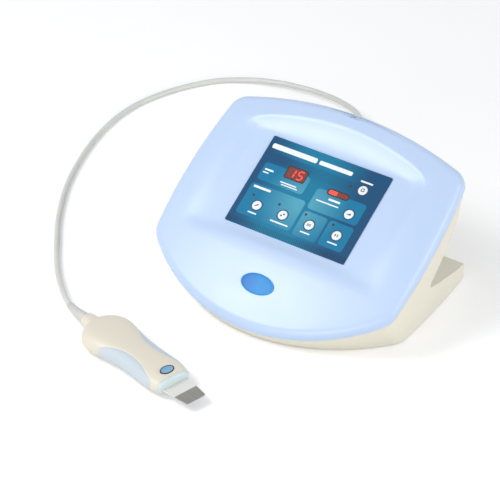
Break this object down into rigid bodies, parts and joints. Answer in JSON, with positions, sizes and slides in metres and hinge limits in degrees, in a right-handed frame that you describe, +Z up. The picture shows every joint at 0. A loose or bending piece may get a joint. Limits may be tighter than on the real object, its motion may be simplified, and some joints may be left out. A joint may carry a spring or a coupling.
{
  "type": "ultrasound therapy device",
  "caption": "Desktop console with a sloping keypad face on a wedge foot, and a contoured spatula handpiece lying beside it on a long grey lead",
  "frame": {"origin": "On the table plane under the centre of the keypad panel, which is also about the middle of the base", "axes": "+X is to the right of a person facing the sloping face, +Y is towards the back, +Z is up; at rest the console stands on its rubber feet"},
  "size_m": [0.4392, 0.4878, 0.1367],
  "materials": {
    "cover_blue": "pale blue moulded plastic, satin gloss",
    "keypad_film": "printed teal film over plastic, satin",
    "key_white": "white key cap with a dark ring",
    "display_red": "dark red tinted window",
    "lens_grey": "unlit indicator lens",
    "badge_blue": "blank domed badge",
    "black_plastic": "black moulded part",
    "board_green": "circuit board",
    "steel": "plated steel",
    "ivory_plastic": "ivory nylon",
    "copper": "copper winding or electrode",
    "capacitor_sleeve": "dark sleeve",
    "bare_aluminium": "bare aluminium",
    "cream_plastic": "cream moulded plastic, fine grain",
    "dark_rubber": "soft rubber",
    "grey_plastic": "grey moulded plastic",
    "grey_rubber": "pale grey flexible sheath",
    "hand_cream": "cream moulded plastic, satin",
    "grip_blue": "pale blue soft grip",
    "collar_green": "pale blue-green collar",
    "blade_steel": "polished, with a brushed working end",
    "ceramic": "piezo ceramic"
  },
  "bodies": {
    "console": {"front_cover": "cover_blue", "keypad_panel": "keypad_film", "digit_window": "display_red", "bar_window": "display_red", "indicator_lenses": "lens_grey", "console_badge": "badge_blue", "digit_display": "black_plastic", "bar_display": "black_plastic", "key_switches": "black_plastic", "control_board": "board_green", "board_spacers": "steel", "board_screws": "steel", "buzzer": "black_plastic", "board_connector": "ivory_plastic", "driver_board": "board_green", "driver_screws": "steel", "output_transformer": "copper", "supply_coil": "copper", "capacitors": "capacitor_sleeve", "heatsink": "bare_aluminium", "heatsink_transistors": "black_plastic", "lead_terminal": "board_green", "rear_housing": "cream_plastic", "case_screws": "steel", "base_plate": "cream_plastic", "base_screws": "steel", "rubber_feet": "dark_rubber", "power_jack": "black_plastic", "jack_nut": "steel", "lead_gland": "grey_plastic", "console_boot": "grey_rubber", "lead": "grey_rubber"},
    "key_on_off": {"key_on_off": "key_white"},
    "key_power": {"key_power": "key_white"},
    "key_program_a": {"key_program_a": "key_white"},
    "key_program_b": {"key_program_b": "key_white"},
    "key_pulse": {"key_pulse": "key_white"},
    "key_pause": {"key_pause": "key_white"},
    "handpiece": {"handpiece_boot": "grey_rubber", "upper_shell": "hand_cream", "lower_shell": "hand_cream", "near_grip": "grip_blue", "far_grip": "grip_blue", "nose_collar": "collar_green", "spatula_blade": "blade_steel", "blade_screw": "steel", "horn": "bare_aluminium", "piezo_rings": "ceramic", "electrode_rings": "copper", "back_mass": "steel", "clamp_bolt": "steel", "transducer_cradle": "ivory_plastic", "damping_rings": "dark_rubber", "handpiece_badge": "badge_blue", "shell_screws": "steel"}
  },
  "joints": [
    {"name": "key_on_off_press", "type": "slide", "parent": "console", "child": "key_on_off", "axis": [0, 0.515, -0.8572], "range_m": [0, 0.0006], "stiffness_N_per_m": 1700, "springref_m": -0.0002},
    {"name": "key_power_press", "type": "slide", "parent": "console", "child": "key_power", "axis": [0, 0.515, -0.8572], "range_m": [0, 0.0006], "stiffness_N_per_m": 1700, "springref_m": -0.0002},
    {"name": "key_program_a_press", "type": "slide", "parent": "console", "child": "key_program_a", "axis": [0, 0.515, -0.8572], "range_m": [0, 0.0006], "stiffness_N_per_m": 1700, "springref_m": -0.0002},
    {"name": "key_program_b_press", "type": "slide", "parent": "console", "child": "key_program_b", "axis": [0, 0.515, -0.8572], "range_m": [0, 0.0006], "stiffness_N_per_m": 1700, "springref_m": -0.0002},
    {"name": "key_pulse_press", "type": "slide", "parent": "console", "child": "key_pulse", "axis": [0, 0.515, -0.8572], "range_m": [0, 0.0006], "stiffness_N_per_m": 1700, "springref_m": -0.0002},
    {"name": "key_pause_press", "type": "slide", "parent": "console", "child": "key_pause", "axis": [0, 0.515, -0.8572], "range_m": [0, 0.0006], "stiffness_N_per_m": 1700, "springref_m": -0.0002},
    {"name": "handpiece_lift", "type": "slide", "parent": "console", "child": "handpiece", "axis": [0, 0, 1], "range_m": [0, 0.08]}
  ]
}
